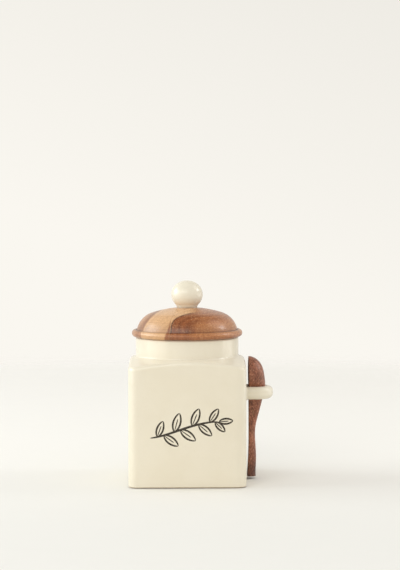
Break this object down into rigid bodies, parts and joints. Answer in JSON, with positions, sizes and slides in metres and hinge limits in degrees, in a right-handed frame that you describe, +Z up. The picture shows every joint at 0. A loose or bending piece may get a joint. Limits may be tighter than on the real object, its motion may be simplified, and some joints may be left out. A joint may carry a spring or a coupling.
{
  "type": "salt jar",
  "caption": "Square glazed jar with a round neck, a turned wooden plug lid with a ball knob, and a wooden spoon that hangs in a loop on its side; keeps salt dry at hand.",
  "frame": {"origin": "centre of the base, on the jar's axis, in the plane that the foot rim stands on", "axes": "+Z up along the neck and lid axis; -Y is the front face; +X is the side with the spoon loop"},
  "size_m": [0.1098, 0.088, 0.1521],
  "materials": {
    "glaze": "cream gloss glaze",
    "stave_left_wood": "oiled",
    "stave_middle_wood": "oiled",
    "stave_right_wood": "oiled",
    "seal_silicone": "translucent",
    "insert_brass": "turned",
    "fixing_steel": "zinc plated",
    "spoon_wood": "oiled"
  },
  "bodies": {
    "jar": {"jar_body": "glaze", "spoon_loop": "glaze"},
    "seal": {"lid_seal": "seal_silicone"},
    "lid": {"lid_stave_left": "stave_left_wood", "lid_stave_middle": "stave_middle_wood", "lid_stave_right": "stave_right_wood", "knob": "glaze", "knob_insert": "insert_brass", "knob_screw": "fixing_steel", "knob_washer": "fixing_steel"},
    "spoon": {"spoon": "spoon_wood"}
  },
  "joints": [
    {"name": "lid_lift", "type": "slide", "parent": "jar", "child": "seal", "axis": [0, 0, 1], "range_m": [0, 0.06]},
    {"name": "lid_turn", "type": "hinge", "parent": "seal", "child": "lid", "pos_m": [0, 0, 0.1092], "axis": [0, 0, 1], "continuous": true},
    {"name": "spoon_lift", "type": "slide", "parent": "jar", "child": "spoon", "axis": [0, 0, 1], "range_m": [0, 0.095]}
  ]
}
